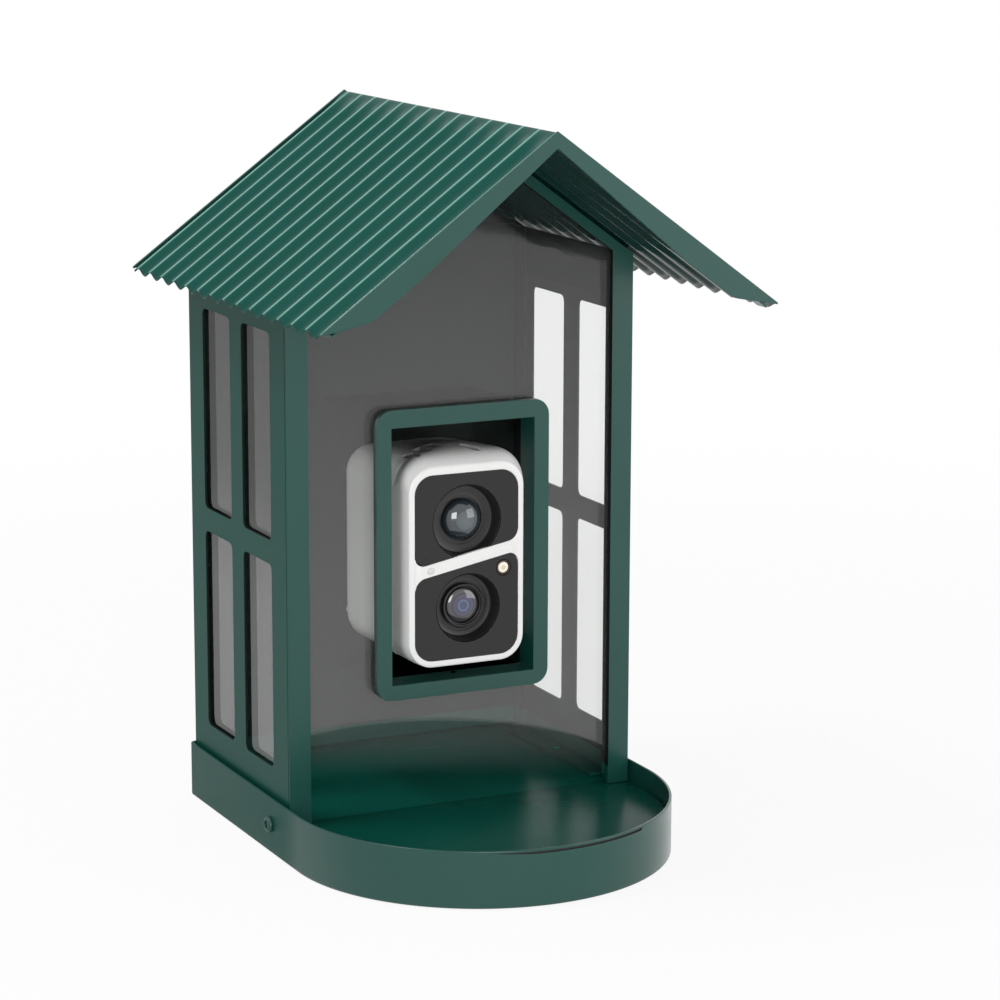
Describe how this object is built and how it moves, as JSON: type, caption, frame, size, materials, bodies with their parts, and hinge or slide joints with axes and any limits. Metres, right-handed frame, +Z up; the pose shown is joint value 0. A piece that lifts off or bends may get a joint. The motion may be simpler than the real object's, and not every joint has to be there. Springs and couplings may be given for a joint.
{
  "type": "smart bird feeder",
  "caption": "Gable-roofed seed house on a half-round feeding tray, with a camera behind its clear front, glazed side walls and a corrugated roof that lifts at the rear hinge to fill it.",
  "frame": {"origin": "on the plane of symmetry, in the plane of the posts' front face, on the underside of the tray", "axes": "+Z up; the house front, the tray's round end and the camera face -Y; +X to the right of someone facing the camera"},
  "size_m": [0.206, 0.2285, 0.319],
  "materials": {
    "green_paint": "satin dark green powder coat on sheet steel",
    "roof_paint": "satin dark green coat on corrugated sheet",
    "clear_plastic": "clear polycarbonate",
    "white_plastic": "satin white casing",
    "black_window": "smooth black face",
    "black_plastic": "fine matt black",
    "lens_glass": "coated lens",
    "light_lens": "warm white light lens",
    "steel": "stainless steel",
    "brass": "brass",
    "rubber": "soft black rubber",
    "circuit_board": "coated circuit board",
    "cell_wrap": "shrink wrap"
  },
  "bodies": {
    "house": {"tray": "green_paint", "tray_floor": "green_paint", "left_tray_screw": "steel", "right_tray_screw": "steel", "left_wall": "green_paint", "right_wall": "green_paint", "left_pane": "clear_plastic", "right_pane": "clear_plastic", "left_foot_rivet": "steel", "right_foot_rivet": "steel", "rear_wall": "green_paint", "front_frame": "green_paint", "front_panel": "clear_plastic", "left_panel_retainer": "green_paint", "right_panel_retainer": "green_paint", "camera_bezel": "green_paint", "bezel_seal": "rubber", "camera_sleeve": "clear_plastic", "upper_sleeve_screw": "steel", "lower_sleeve_screw": "steel", "rear_bracket": "green_paint", "left_bracket_screw": "steel", "right_bracket_screw": "steel", "wall_hinge_leaf": "steel", "hinge_pin": "steel", "camera_washer": "rubber"},
    "roof": {"roof_sheet": "roof_paint", "roof_front_fascia": "green_paint", "roof_rear_fascia": "green_paint", "rear_gable_plate": "green_paint", "roof_hinge_leaf": "steel"},
    "camera": {"camera_front_shell": "white_plastic", "camera_rear_shell": "white_plastic", "case_seal": "rubber", "upper_window": "black_window", "lower_window": "black_window", "upper_lens_cup": "black_plastic", "lower_lens_cup": "black_plastic", "upper_lens_dome": "lens_glass", "lower_lens_barrel": "black_plastic", "lower_lens_glass": "lens_glass", "status_light": "light_lens", "status_light_ring": "brass", "indicator_light": "light_lens", "main_board": "circuit_board", "upper_image_sensor": "black_plastic", "lower_image_sensor": "black_plastic", "left_battery_cell": "cell_wrap", "right_battery_cell": "cell_wrap", "speaker": "black_plastic", "antenna": "brass", "charging_port": "steel", "microphone": "steel", "button_switch": "black_plastic", "thread_insert": "brass"},
    "port_flap": {"port_flap": "rubber"},
    "power_button": {"power_button": "rubber"},
    "thumb_screw": {"thumb_screw": "black_plastic"}
  },
  "joints": [
    {"name": "roof_hinge", "type": "hinge", "parent": "house", "child": "roof", "pos_m": [0, 0.116, 0.255], "axis": [-1, 0, 0], "range_deg": [0, 90]},
    {"name": "camera_slide", "type": "slide", "parent": "house", "child": "camera", "axis": [0, -1, 0], "range_m": [0, 0.085]},
    {"name": "port_flap_hinge", "type": "hinge", "parent": "camera", "child": "port_flap", "pos_m": [0, 0.0505, 0.08], "axis": [1, 0, 0], "range_deg": [0, 90]},
    {"name": "power_button_press", "type": "slide", "parent": "camera", "child": "power_button", "axis": [0, -1, 0], "range_m": [0, 0.0006], "stiffness_N_per_m": 500},
    {"name": "thumb_screw_turn", "type": "hinge", "parent": "house", "child": "thumb_screw", "pos_m": [0, 0.0681, 0.128], "axis": [0, 1, 0], "continuous": true}
  ]
}
